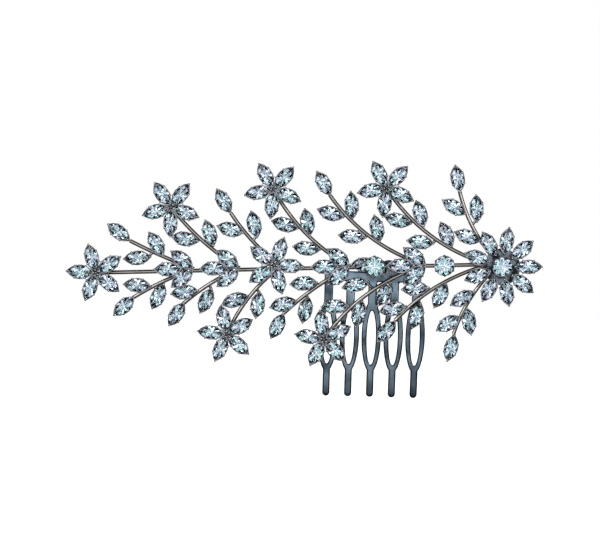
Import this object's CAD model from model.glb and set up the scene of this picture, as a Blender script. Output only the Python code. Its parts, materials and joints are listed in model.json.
import json
import math

import bmesh
import bpy
import numpy as np
from mathutils import Matrix, Vector

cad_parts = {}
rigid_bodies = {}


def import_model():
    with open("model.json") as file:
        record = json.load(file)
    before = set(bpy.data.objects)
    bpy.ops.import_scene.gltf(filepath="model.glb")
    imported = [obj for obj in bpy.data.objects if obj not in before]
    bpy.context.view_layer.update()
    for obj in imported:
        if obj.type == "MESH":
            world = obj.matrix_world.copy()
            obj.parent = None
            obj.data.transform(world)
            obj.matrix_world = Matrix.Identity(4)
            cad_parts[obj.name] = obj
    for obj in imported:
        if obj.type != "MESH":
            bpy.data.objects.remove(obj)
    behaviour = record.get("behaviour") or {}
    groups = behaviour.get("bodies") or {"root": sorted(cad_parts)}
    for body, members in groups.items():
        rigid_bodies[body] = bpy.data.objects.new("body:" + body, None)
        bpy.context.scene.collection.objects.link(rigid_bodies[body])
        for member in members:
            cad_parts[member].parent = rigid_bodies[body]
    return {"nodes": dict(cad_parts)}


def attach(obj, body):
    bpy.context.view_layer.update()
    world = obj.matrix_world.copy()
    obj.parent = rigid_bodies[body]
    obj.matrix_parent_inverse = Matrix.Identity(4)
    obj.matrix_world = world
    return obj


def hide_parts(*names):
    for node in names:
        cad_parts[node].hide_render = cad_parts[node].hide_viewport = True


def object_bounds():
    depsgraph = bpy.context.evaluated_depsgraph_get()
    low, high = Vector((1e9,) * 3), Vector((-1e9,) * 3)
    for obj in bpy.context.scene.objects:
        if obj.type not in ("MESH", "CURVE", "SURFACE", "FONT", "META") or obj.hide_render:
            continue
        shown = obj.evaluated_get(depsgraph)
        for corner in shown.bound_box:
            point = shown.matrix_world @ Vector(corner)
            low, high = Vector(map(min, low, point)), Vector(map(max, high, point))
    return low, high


for leftover in list(bpy.data.objects):
    bpy.data.objects.remove(leftover)
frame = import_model()
cad_low, cad_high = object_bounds()
MM = 0.001


# ---- Camera ------------------------------------------------------------------------------
# A long lens, level with the comb's bar and square to the front of the spray.
# The comb leans a little, so the camera leans the other way.

SENSOR_WIDTH = 36
LENS = 200
SEEN_WIDTH = 163.2 * MM
CAMERA_LEAN = math.radians(1.6)
AIM_RIGHT = -19.9 * MM
AIM_UP = 2.0 * MM

image_right = Vector((math.cos(CAMERA_LEAN), 0, math.sin(CAMERA_LEAN)))
image_up = Vector((-math.sin(CAMERA_LEAN), 0, math.cos(CAMERA_LEAN)))
towards_camera = Vector((0, -1, 0))
camera_data = bpy.data.cameras.new("camera")
camera_data.lens = LENS
camera_data.sensor_width = SENSOR_WIDTH
camera_data.clip_start = 0.01
camera = bpy.data.objects.new("camera", camera_data)
bpy.context.collection.objects.link(camera)
camera_place = Matrix((image_right, image_up, towards_camera)).transposed().to_4x4()
camera_place.translation = (image_right * AIM_RIGHT + image_up * AIM_UP
                            + towards_camera * SEEN_WIDTH * LENS / SENSOR_WIDTH)
camera.matrix_world = camera_place
bpy.context.scene.camera = camera


# ---- The comb ----------------------------------------------------------------------------
# One piece stamped from steel sheet: a bar with five looped teeth, bent back to follow the
# head. Its edges are rolled in a barrel. It is plated a blue-grey satin, which stays darker
# on the rolled edges.

COMB_EDGE_RADIUS = 0.42 * MM
COMB_EDGE_STEPS = 4
SHARP_EDGE = math.radians(40)
FLAT_ENOUGH = math.radians(0.2)
SAME_POINT = 0.001 * MM


def add_node(tree, kind, settings=None, sockets=None):
    """A node of any kind: its settings first, then the values or links of its sockets."""
    node = tree.nodes.new(kind)
    for name, value in (settings or {}).items():
        if name == "stops":
            while len(node.color_ramp.elements) < len(value):
                node.color_ramp.elements.new(0.5)
            for element, (position, shade) in zip(node.color_ramp.elements, value):
                element.position = position
                element.color = (shade, shade, shade, 1)
        else:
            setattr(node, name, value)
    for name, value in (sockets or {}).items():
        if isinstance(value, Wire):
            tree.links.new(value.socket, node.inputs[name])
        else:
            node.inputs[name].default_value = value
    return node


class Wire:
    """A number that flows through a shader. Sums and products of it add Math nodes."""

    def __init__(self, tree, socket):
        self.tree, self.socket = tree, socket

    def reckon(self, operation, *numbers):
        node = add_node(self.tree, "ShaderNodeMath", {"operation": operation},
                        dict(enumerate(numbers)))
        return Wire(self.tree, node.outputs[0])

    def __add__(self, other):
        return self.reckon("ADD", self, other)

    def __mul__(self, other):
        return self.reckon("MULTIPLY", self, other)

    def __rsub__(self, other):
        return self.reckon("SUBTRACT", other, self)

    __radd__ = __add__
    __rmul__ = __mul__


class Finish:
    """A material with one Principled shader, and the patterns that feed it."""

    def __init__(self, name, **fixed):
        self.material = bpy.data.materials.new(name)
        self.material.use_nodes = True
        self.tree = self.material.node_tree
        self.shader = self.tree.nodes["Principled BSDF"]
        for socket, value in fixed.items():
            self.shader.inputs[socket.replace("_", " ")].default_value = value
        self.place = self.wire("ShaderNodeTexCoord", output="Object")

    def wire(self, kind, settings=None, sockets=None, output=0):
        node = add_node(self.tree, kind, settings, sockets)
        return Wire(self.tree, node.outputs[output])

    def stretched(self, scale):
        return self.wire("ShaderNodeMapping", sockets={"Vector": self.place, "Scale": scale})

    def noise(self, scale, detail=3, place=None):
        return self.wire("ShaderNodeTexNoise",
                         sockets={"Vector": place or self.place, "Scale": scale,
                                  "Detail": detail})

    def blend(self, share, low, high):
        return self.wire("ShaderNodeMix", {"data_type": "RGBA"},
                         {"Factor": share, 6: low, 7: high}, output=2)

    def ramp(self, value, *stops):
        return self.wire("ShaderNodeValToRGB", {"stops": stops}, {"Fac": value})

    def feed(self, **patterns):
        for socket, wire in patterns.items():
            self.tree.links.new(wire.socket, self.shader.inputs[socket.replace("_", " ")])

    def bump(self, height, depth, strength):
        self.feed(Normal=self.wire("ShaderNodeBump",
                                   sockets={"Height": height, "Distance": depth,
                                            "Strength": strength}))


def merged_copy(node):
    """Corner points and faces of a CAD node, with its loose triangles joined."""
    mesh = bmesh.new()
    mesh.from_mesh(node.data)
    bmesh.ops.remove_doubles(mesh, verts=mesh.verts, dist=SAME_POINT)
    return mesh


def add_piece(name, mesh, slot, *nodes):
    """A finished piece that rides on the comb's one rigid body."""
    piece = bpy.data.objects.new(name, mesh)
    bpy.context.collection.objects.link(piece)
    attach(piece, "root")
    if nodes:
        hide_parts(*nodes)
    return piece


def finished_mesh(draft):
    """The plain mesh of an object with its modifiers worked out; the draft is removed."""
    bpy.context.view_layer.update()
    seen = draft.evaluated_get(bpy.context.evaluated_depsgraph_get())
    mesh = bpy.data.meshes.new_from_object(seen)
    draft.modifiers.clear()
    bpy.data.objects.remove(draft)
    return mesh


satin = Finish("satin_blue_steel", Metallic=1.0)
brushed = satin.noise(1, 5, satin.stretched((2600, 2600, 110)))
cloud = satin.noise(160, 3)
worn = satin.wire("ShaderNodeAttribute", {"attribute_name": "worn"}, output="Fac")
plated = satin.blend(satin.ramp(cloud, (0.35, 0.0), (0.65, 1.0)),
                     (0.045, 0.068, 0.09, 1), (0.21, 0.29, 0.36, 1))
satin.feed(Base_Color=satin.blend(satin.ramp(worn, (0.75, 0.0), (0.93, 1.0)),
                                  (0.006, 0.008, 0.010, 1), plated),
           Roughness=0.08 + 0.10 * brushed + 0.05 * cloud)
satin.bump(brushed, 0.02 * MM, 0.5)

sheet = merged_copy(frame["nodes"]["comb"])
bmesh.ops.dissolve_limit(sheet, angle_limit=FLAT_ENOUGH, verts=sheet.verts, edges=sheet.edges)
corners = [point.co[:] for point in sheet.verts]
panels = [[point.index for point in face.verts] for face in sheet.faces]
sheet.free()
comb_mesh = bpy.data.meshes.new("comb_sheet")
comb_mesh.from_pydata(corners, [], panels)
comb_mesh.shade_smooth()
comb_draft = bpy.data.objects.new("comb_sheet", comb_mesh)
bpy.context.collection.objects.link(comb_draft)
rolled = comb_draft.modifiers.new("rolled_edges", "BEVEL")
rolled.width = COMB_EDGE_RADIUS
rolled.segments = COMB_EDGE_STEPS
rolled.limit_method = "ANGLE"
rolled.angle_limit = SHARP_EDGE
rolled.harden_normals = True
rolled.use_clamp_overlap = False
comb = add_piece("stamped_comb", finished_mesh(comb_draft), "comb_metal", "comb")
comb.data.materials.clear()
comb.data.materials.append(satin.material)
wear = comb.data.attributes.new("worn", "FLOAT", "FACE")
for face in comb.data.polygons:
    wear.data[face.index].value = face.normal.y ** 2


# ---- Spine and branch wires --------------------------------------------------------------
# Drawn brass wire, plated with rhodium and polished. The spine is one straight wire, and
# seven pairs of bent stems are soldered to it.

def dress(finish, *names):
    """Gives CAD nodes their finish."""
    for name in names:
        for slot in frame["nodes"][name].material_slots:
            slot.material = finish.material


wire_plate = Finish("drawn_rhodium_wire", Metallic=1.0)
drawn = wire_plate.noise(1500, 4)
tarnish = wire_plate.noise(220, 3)
wire_plate.feed(Base_Color=wire_plate.blend(tarnish, (0.13, 0.12, 0.11, 1),
                                            (0.52, 0.50, 0.48, 1)),
                Roughness=0.05 + 0.09 * drawn)
wire_plate.bump(drawn, 0.02 * MM, 0.4)

BRANCH_COUNT = 7
dress(wire_plate, "spine_wire", *("branch_%d_wires" % k for k in range(1, BRANCH_COUNT + 1)))


# ---- Lugs and backplates -----------------------------------------------------------------
# Two round lugs hold the spine in front of the comb's bar, and a thin disc behind each
# flower and trio carries its settings. All are soldered, and show only between the leaves.

solder_plate = Finish("soldered_rhodium", Metallic=1.0)
flow = solder_plate.noise(450, 3)
pooled = solder_plate.ramp(flow, (0.42, 0.0), (0.56, 1.0))
solder_plate.feed(Base_Color=solder_plate.blend(pooled, (0.012, 0.016, 0.020, 1),
                                                (0.14, 0.17, 0.20, 1)),
                  Roughness=0.10 + 0.16 * flow)
solder_plate.bump(flow, 0.25 * MM, 1.0)
dress(solder_plate, "backplates", "mounting_lugs")


# ---- Settings ----------------------------------------------------------------------------
# Tapered cups of rhodium-plated brass, one for each stone: pointed ones for the leaves and
# petals, round ones for the three round stones.

cup_plate = Finish("cup_rhodium", Metallic=1.0)
grain = cup_plate.noise(1300, 4)
blotch = cup_plate.noise(380, 3)
cup_plate.feed(Base_Color=cup_plate.blend(cup_plate.ramp(blotch, (0.38, 0.0), (0.66, 1.0)),
                                          (0.05, 0.05, 0.055, 1), (0.36, 0.37, 0.40, 1)),
               Roughness=0.08 + 0.12 * grain)
cup_plate.bump(grain, 0.03 * MM, 0.4)

settings = [name for name in frame["nodes"] if name.endswith(("_settings", "_setting"))]
dress(cup_plate, *settings)


# ---- Pointed stones ----------------------------------------------------------------------
# Marquise-cut crystals with a mirror foil behind, one in each leaf and petal. A Geometry
# Nodes tree sets the same cut stone at every place that the CAD gives.

MARQUISE_LENGTH = 6.9 * MM
MARQUISE_WIDTH = 3.4 * MM
HALF_LENGTH, HALF_WIDTH = MARQUISE_LENGTH / 2, MARQUISE_WIDTH / 2
ARC_RADIUS = (HALF_LENGTH ** 2 + HALF_WIDTH ** 2) / (2 * HALF_WIDTH)
MARQUISE_CORNERS = 14
MARQUISE_CROWN = 0.48 * MM
# level behind the edge's front, size against the outline, half a corner turned or not,
# and how far every other corner lies in or out
MARQUISE_LEVELS = [(-0.48, 0.56, 0, 0), (-0.27, 0.82, 0.5, 0.03), (0.0, 1.0, 0, 0),
                   (0.12, 1.0, 0, 0), (0.60, 0.62, 0.5, 0.12), (1.25, 0.12, 0, 0.05)]
FACET_SEED = 7
FOIL_FRONT = 0.2 * MM
# how fast the foil brightens towards the stone's outline, and its shade at the middle
GLEAM_RISE = 2.4
GLEAM_MIDDLE = -1.1


def marquise_corner(turn):
    """Point of the pointed outline at a share of a full turn, in X and Z."""
    sweep = math.asin(HALF_LENGTH / ARC_RADIUS)
    side = 1 if turn % 1 < 0.5 else -1
    angle = side * sweep * (1 - 4 * (turn % 0.5))
    rise = ARC_RADIUS * math.cos(angle) - ARC_RADIUS + HALF_WIDTH
    return ARC_RADIUS * math.sin(angle), side * rise


def closed_mesh(name, points, faces):
    """A mesh whose faces all look outward."""
    mesh = bpy.data.meshes.new(name)
    mesh.from_pydata(points, [], faces)
    shape = bmesh.new()
    shape.from_mesh(mesh)
    bmesh.ops.recalc_face_normals(shape, faces=shape.faces)
    shape.to_mesh(mesh)
    shape.free()
    return mesh


def cut_stone(name, corner, count, levels):
    """A faceted stone. Rings that are half a corner turned make triangular facets, and a
    ring whose corners lie in and out by turns makes mains between smaller facets. Each
    facet has a shade of its own, and those behind FOIL_FRONT are foiled."""
    points, faces = [], []
    for level, share, turned, in_and_out in levels:
        for k in range(count):
            x, z = corner((k + turned) / count)
            reach = share + in_and_out * (-1) ** k
            points.append((x * reach, level * MM, z * reach))
    for row in range(len(levels) - 1):
        here, there = row * count, (row + 1) * count
        shift = levels[row + 1][2] - levels[row][2]
        for k in range(count):
            after = (k + 1) % count
            if shift == 0:
                faces.append((here + k, here + after, there + after, there + k))
            elif shift > 0:
                faces.append((here + k, here + after, there + k))
                faces.append((there + k, here + after, there + after))
            else:
                faces.append((here + k, there + after, there + k))
                faces.append((here + k, here + after, there + after))
    faces.append(tuple(range(count)))
    faces.append(tuple(range((len(levels) - 1) * count, len(levels) * count)))
    mesh = closed_mesh(name, points, faces)
    chance = np.random.default_rng(FACET_SEED)
    facet = mesh.attributes.new("facet", "FLOAT", "FACE")
    foiled = mesh.attributes.new("foiled", "BOOLEAN", "FACE")
    outline = max(point.co.x for point in mesh.vertices)
    for face in mesh.polygons:
        gleam = GLEAM_RISE * face.center.xz.length / outline + GLEAM_MIDDLE
        facet.data[face.index].value = max(chance.random(), min(1, gleam))
        foiled.data[face.index].value = face.center.y > FOIL_FRONT
    return bpy.data.objects.new(name, mesh)


def stone_places(name, crown):
    """Seat and turn of each stone in a CAD node: the seat is the middle of its edge's front,
    and its turn comes from its own long and short axes."""
    shape = merged_copy(frame["nodes"][name])
    unseen, places = set(shape.verts), []
    for first in shape.verts:
        if first not in unseen:
            continue
        unseen.discard(first)
        island, front = [first], [first]
        while front:
            for edge in front.pop().link_edges:
                for point in edge.verts:
                    if point in unseen:
                        unseen.discard(point)
                        island.append(point)
                        front.append(point)
        cloud = np.array([point.co[:] for point in island])
        middle = cloud.mean(0)
        axes = np.linalg.svd(cloud - middle)[2]
        along, back = Vector(axes[0]), Vector(axes[2])
        depths = (cloud - middle) @ axes[2]
        if depths.max() < -depths.min():
            back, depths = -back, -depths
        along = (along - back * along.dot(back)).normalized()
        seat = Vector(middle) + back * (depths.min() + crown)
        turn = Matrix((along, back, along.cross(back))).transposed().to_euler()
        places.append((seat, turn))
    shape.free()
    return sorted(places, key=lambda place: (round(place[0].x, 5), round(place[0].z, 5)))


def place_tree(name):
    """Geometry Nodes: the same part at every place, each with a tint of its own."""
    tree = bpy.data.node_groups.new(name, "GeometryNodeTree")
    for label, kind in [("Places", "Geometry"), ("Part", "Object"), ("Size", "Float"),
                        ("Tint seed", "Int"), ("Front finish", "Material"),
                        ("Foil finish", "Material")]:
        tree.interface.new_socket(label, in_out="INPUT", socket_type="NodeSocket" + kind)
    tree.interface.new_socket("Parts", in_out="OUTPUT", socket_type="NodeSocketGeometry")

    def link(source, output, target, entry):
        tree.links.new(source.outputs[output], target.inputs[entry])

    given = add_node(tree, "NodeGroupInput")
    part = add_node(tree, "GeometryNodeObjectInfo", {"transform_space": "ORIGINAL"},
                    {"As Instance": True})
    turn = add_node(tree, "GeometryNodeInputNamedAttribute", {"data_type": "FLOAT_VECTOR"},
                    {"Name": "turn"})
    rotation = add_node(tree, "FunctionNodeEulerToRotation")
    placed = add_node(tree, "GeometryNodeInstanceOnPoints")
    chance = add_node(tree, "FunctionNodeRandomValue", {"data_type": "FLOAT"})
    tinted = add_node(tree, "GeometryNodeStoreNamedAttribute",
                      {"data_type": "FLOAT", "domain": "INSTANCE"}, {"Name": "tint"})
    real = add_node(tree, "GeometryNodeRealizeInstances")
    front = add_node(tree, "GeometryNodeSetMaterial")
    foiled = add_node(tree, "GeometryNodeInputNamedAttribute", {"data_type": "BOOLEAN"},
                      {"Name": "foiled"})
    foil = add_node(tree, "GeometryNodeSetMaterial")
    result = add_node(tree, "NodeGroupOutput")
    link(given, "Part", part, "Object")
    link(given, "Places", placed, "Points")
    link(part, "Geometry", placed, "Instance")
    link(turn, "Attribute", rotation, "Euler")
    link(rotation, "Rotation", placed, "Rotation")
    link(given, "Size", placed, "Scale")
    link(given, "Tint seed", chance, "Seed")
    link(placed, "Instances", tinted, "Geometry")
    tree.links.new(chance.outputs[1], tinted.inputs["Value"])
    link(tinted, "Geometry", real, "Geometry")
    link(real, "Geometry", front, "Geometry")
    link(given, "Front finish", front, "Material")
    link(front, "Geometry", foil, "Geometry")
    link(foiled, "Attribute", foil, "Selection")
    link(given, "Foil finish", foil, "Material")
    link(foil, "Geometry", result, "Parts")
    return tree


placing = place_tree("set_in_place")


def set_out(name, places, **inputs):
    """The mesh of one part set at each place by the Geometry Nodes tree."""
    points = bpy.data.meshes.new(name)
    points.from_pydata([seat for seat, turn in places], [], [])
    turns = points.attributes.new("turn", "FLOAT_VECTOR", "POINT")
    for k, (seat, turn) in enumerate(places):
        turns.data[k].vector = turn[:]
    draft = bpy.data.objects.new(name, points)
    modifier = draft.modifiers.new("set_in_place", "NODES")
    modifier.node_group = placing
    for item in placing.interface.items_tree:
        label = item.name.replace(" ", "_").lower()
        if item.in_out == "INPUT" and label in inputs:
            modifier[item.identifier] = inputs[label]
    bpy.context.collection.objects.link(draft)
    return finished_mesh(draft)


crystal = Finish("cut_crystal", Transmission_Weight=1.0, IOR=1.54, Roughness=0.0)
crystal.feed(Base_Color=crystal.blend(
    crystal.wire("ShaderNodeAttribute", {"attribute_name": "tint"}, output="Fac"),
    (0.95, 0.99, 1.0, 1), (1.0, 1.0, 1.0, 1)))

foil = Finish("mirror_foil", Metallic=1.0, Roughness=0.03)
facet = foil.wire("ShaderNodeAttribute", {"attribute_name": "facet"}, output="Fac")
tint = foil.wire("ShaderNodeAttribute", {"attribute_name": "tint"}, output="Fac")
fire = foil.wire("ShaderNodeMath", {"operation": "FRACT"}, {0: facet * 7.0 + tint * 3.0})
cool = foil.blend(foil.ramp(fire, (0.22, 0.0), (0.28, 1.0)), (0.76, 1.0, 0.96, 1),
                  (0.84, 0.94, 1.0, 1))
cast = foil.blend(foil.ramp(fire, (0.78, 0.0), (0.84, 1.0)), cool, (0.93, 0.86, 1.0, 1))
shade = foil.ramp(facet, (0.0, 0.0), (0.42, 0.76), (1.0, 1.0))
foil.feed(Base_Color=foil.blend(shade, (0.27, 0.32, 0.38, 1), cast))

marquise = cut_stone("marquise", marquise_corner, MARQUISE_CORNERS, MARQUISE_LEVELS)
pointed_nodes = [name for name in frame["nodes"]
                 if name.endswith("_stones") or name == "spine_leaf_stone"]
pointed_places = {name: stone_places(name, MARQUISE_CROWN) for name in sorted(pointed_nodes)}
for number, (name, places) in enumerate(pointed_places.items()):
    mesh = set_out(name + "_cut", places, part=marquise, size=1.0, tint_seed=number,
                   front_finish=crystal.material, foil_finish=foil.material)
    add_piece(name.replace("stone", "crystal"), mesh, "crystal", name)


# ---- Claws of the pointed stones ---------------------------------------------------------
# Six cast and polished claws on each pointed setting, one at each tip and two on each side.
# They climb the outside of the cup and bend over the stone's edge.

CUP_DEPTH = 1.4 * MM
CUP_TAPER = 0.83 * MM
CUP_WALL = 0.25 * MM
SEAT_GAP = 0.03 * MM
STONE_EDGE_TO_RIM = 0.05 * MM
SIDE_CLAW_SPREAD = 1.45 * MM
CLAW_SIDES = 8
# height above the cup's back, distance inside the cup's outer face, radius
CLAW_LINE = [(0.10, 0.08, 0.02), (0.12, 0.08, 0.15), (0.9, 0.08, 0.22), (1.25, 0.11, 0.29),
             (1.5, 0.15, 0.32), (1.68, 0.24, 0.31), (1.76, 0.36, 0.23), (1.78, 0.46, 0.10),
             (1.78, 0.49, 0.01)]


def claw_mesh(name, footings, line, depth, taper):
    """Bent claws as swept tubes. A footing is a point of the rim and its way outward."""
    points, faces = [], []
    for x, z, outward in footings:
        out = Vector((math.cos(outward), 0, math.sin(outward)))
        across = Vector((-math.sin(outward), 0, math.cos(outward)))
        spots = []
        for height, inside, radius in line:
            lean = taper * max(0, 1 - height * MM / depth)
            spots.append((Vector((x, depth - height * MM, z)) - out * (inside * MM + lean),
                          radius * MM))
        base = len(points)
        for k, (spot, radius) in enumerate(spots):
            before, after = spots[max(k - 1, 0)][0], spots[min(k + 1, len(spots) - 1)][0]
            ahead = (after - before).normalized()
            up = ahead.cross(across)
            for step in range(CLAW_SIDES):
                angle = 2 * math.pi * step / CLAW_SIDES
                points.append(spot + (across * math.cos(angle) + up * math.sin(angle)) * radius)
        for k in range(len(spots) - 1):
            for step in range(CLAW_SIDES):
                after = (step + 1) % CLAW_SIDES
                here, there = base + k * CLAW_SIDES, base + (k + 1) * CLAW_SIDES
                faces.append((here + step, here + after, there + after, there + step))
        faces.append([base + step for step in range(CLAW_SIDES)])
        faces.append([base + (len(spots) - 1) * CLAW_SIDES + step
                      for step in range(CLAW_SIDES)])
    mesh = closed_mesh(name, points, faces)
    mesh.shade_smooth()
    return mesh


# a claw stands where the cup's outer face is, at the tips and at two places on each side
arc_middle = ARC_RADIUS - HALF_WIDTH
outer_radius = ARC_RADIUS + SEAT_GAP + CUP_WALL
tip_reach = math.sqrt(outer_radius ** 2 - arc_middle ** 2)
flank_reach = math.sqrt(outer_radius ** 2 - SIDE_CLAW_SPREAD ** 2) - arc_middle
flank_lean = math.asin(SIDE_CLAW_SPREAD / outer_radius)
footings = [(tip_reach, 0, 0), (-tip_reach, 0, math.pi)]
for end in (1, -1):
    for side in (1, -1):
        footings.append((SIDE_CLAW_SPREAD * end, flank_reach * side,
                         math.atan2(math.cos(flank_lean) * side, math.sin(flank_lean) * end)))
one_set = claw_mesh("leaf_claws", footings, CLAW_LINE, CUP_DEPTH - STONE_EDGE_TO_RIM, CUP_TAPER)
leaf_claws = bpy.data.objects.new("leaf_claws", one_set)

claw_plate = Finish("polished_claws", Metallic=1.0)
rubbed = claw_plate.noise(900, 3)
claw_plate.feed(Base_Color=claw_plate.blend(rubbed, (0.50, 0.49, 0.48, 1), (0.90, 0.90, 0.91, 1)),
                Roughness=0.12 + 0.14 * rubbed)

claw_places = [place for places in pointed_places.values() for place in places]
claw_work = set_out("claws", claw_places, part=leaf_claws, size=1.0,
                    front_finish=claw_plate.material)
add_piece("claws_of_pointed_stones", claw_work, "bright_metal")


# ---- Round stones ------------------------------------------------------------------------
# Three round brilliants with foil behind: two on the spine and one in the large flower.
# Each is held by six claws.

ROUND_DIAMETER = 5.0 * MM
ROUND_CROWN = 0.75 * MM
ROUND_CORNERS = 16
ROUND_TINT_SEED = 40
ROUND_LEVELS = [(-0.75, 0.54, 0, 0.02), (-0.42, 0.80, 0.5, 0.03), (0.0, 1.0, 0, 0),
                (0.12, 1.0, 0, 0), (0.82, 0.60, 0.5, 0.11), (1.78, 0.06, 0, 0.02)]


def round_corner(turn):
    """Point of the round outline at a share of a full turn, in X and Z."""
    angle = 2 * math.pi * turn
    return ROUND_DIAMETER / 2 * math.cos(angle), -ROUND_DIAMETER / 2 * math.sin(angle)


brilliant = cut_stone("round_brilliant", round_corner, ROUND_CORNERS, ROUND_LEVELS)
for number, name in enumerate(("round_1_stone", "round_2_stone",
                               "large_flower_centre_stone")):
    mesh = set_out(name + "_cut", stone_places(name, ROUND_CROWN), part=brilliant, size=1.0,
                   tint_seed=ROUND_TINT_SEED + number, front_finish=crystal.material,
                   foil_finish=foil.material)
    add_piece(name.replace("stone", "crystal"), mesh, "crystal", name)


# ---- Floor and light ---------------------------------------------------------------------
# A pale studio floor under the teeth's tips, two large soft lights in front, a broad one
# above, and a room that is bright straight ahead, dim around, and half bright behind.

FLOOR_DROP = 0.3 * MM
FLOOR_HALF = 1.5
ROOM_LIGHT = 1.35
PANEL_SCALE = 3.2
OVERHEAD_POWER = 4.2
OVERHEAD_SPREAD = math.radians(50)
OVERHEAD_LEAN = math.radians(12)

floor_mesh = bpy.data.meshes.new("floor")
floor_z = cad_low.z - FLOOR_DROP
floor_mesh.from_pydata([(x * FLOOR_HALF, y * FLOOR_HALF, floor_z)
                        for x, y in ((-1, -1), (1, -1), (1, 1), (-1, 1))], [], [(0, 1, 2, 3)])
floor = bpy.data.objects.new("floor", floor_mesh)
bpy.context.collection.objects.link(floor)
pale = Finish("pale_floor", Roughness=0.9)
pale.feed(Base_Color=pale.blend(pale.noise(30, 2), (0.90, 0.90, 0.90, 1), (0.93, 0.93, 0.93, 1)))
floor_mesh.materials.append(pale.material)
floor.visible_glossy = False
floor.visible_transmission = False


def soft_light(name, place, width, height, watts):
    """A rectangular light, turned to face the comb."""
    data = bpy.data.lights.new(name, "AREA")
    data.shape = "RECTANGLE"
    data.size, data.size_y, data.energy = width, height, watts
    light = bpy.data.objects.new(name, data)
    light.location = place
    light.rotation_euler = (-Vector(place)).to_track_quat("-Z", "Y").to_euler()
    light.visible_camera = False
    bpy.context.collection.objects.link(light)


soft_light("left_softbox", (-0.45, -0.8, 0.35), width=0.3, height=0.5, watts=2.2)
soft_light("right_softbox", (0.5, -0.75, 0.15), width=0.25, height=0.5, watts=1.6)

overhead_data = bpy.data.lights.new("overhead", "SUN")
overhead_data.energy = OVERHEAD_POWER
overhead_data.angle = OVERHEAD_SPREAD
overhead = bpy.data.objects.new("overhead", overhead_data)
overhead.rotation_euler = (OVERHEAD_LEAN, 0, 0)
overhead_data.use_shadow = False
overhead.visible_glossy = False
overhead.visible_transmission = False
bpy.context.collection.objects.link(overhead)

world = bpy.data.worlds.new("studio")
bpy.context.scene.world = world
world.use_nodes = True
room = world.node_tree
room.nodes.clear()


def room_wire(kind, settings=None, sockets=None, output=0):
    """One node of the room's light, as the number or colour that it gives."""
    return Wire(room, add_node(room, kind, settings, sockets).outputs[output])


# 0 straight ahead of the comb's front, 1 straight behind it
way = room_wire("ShaderNodeTexCoord", output="Generated")
ahead = room_wire("ShaderNodeSeparateXYZ", sockets={0: way}, output="Y") * 0.5 + 0.5
on_metal = room_wire("ShaderNodeValToRGB",
                     {"stops": [(0.0, 1.0), (0.045, 0.9), (0.10, 0.08), (0.25, 0.035),
                                (0.70, 0.035), (0.82, 0.6)]}, {"Fac": ahead})
in_stones = room_wire("ShaderNodeValToRGB",
                      {"stops": [(0.0, 1.0), (0.25, 0.95), (0.36, 0.78), (0.46, 0.54),
                                 (0.86, 0.54), (0.93, 0.7)]}, {"Fac": ahead})
patches = room_wire("ShaderNodeTexNoise", sockets={"Vector": way, "Scale": PANEL_SCALE,
                                                   "Detail": 1.0})
panels = room_wire("ShaderNodeValToRGB", {"stops": [(0.40, 0.45), (0.50, 1.0)]},
                   {"Fac": patches})
refracted = room_wire("ShaderNodeLightPath", output="Is Transmission Ray")
gloom = (refracted * in_stones + (1 - refracted) * on_metal) * panels * ROOM_LIGHT
dim = room_wire("ShaderNodeBackground", sockets={"Color": gloom})
white = room_wire("ShaderNodeBackground", sockets={"Color": (1, 1, 1, 1)})
to_camera = room_wire("ShaderNodeLightPath", output="Is Camera Ray")
either = room_wire("ShaderNodeMixShader", sockets={0: to_camera, 1: dim, 2: white})
add_node(room, "ShaderNodeOutputWorld", sockets={"Surface": either})
bpy.context.scene.view_settings.view_transform = "Standard"
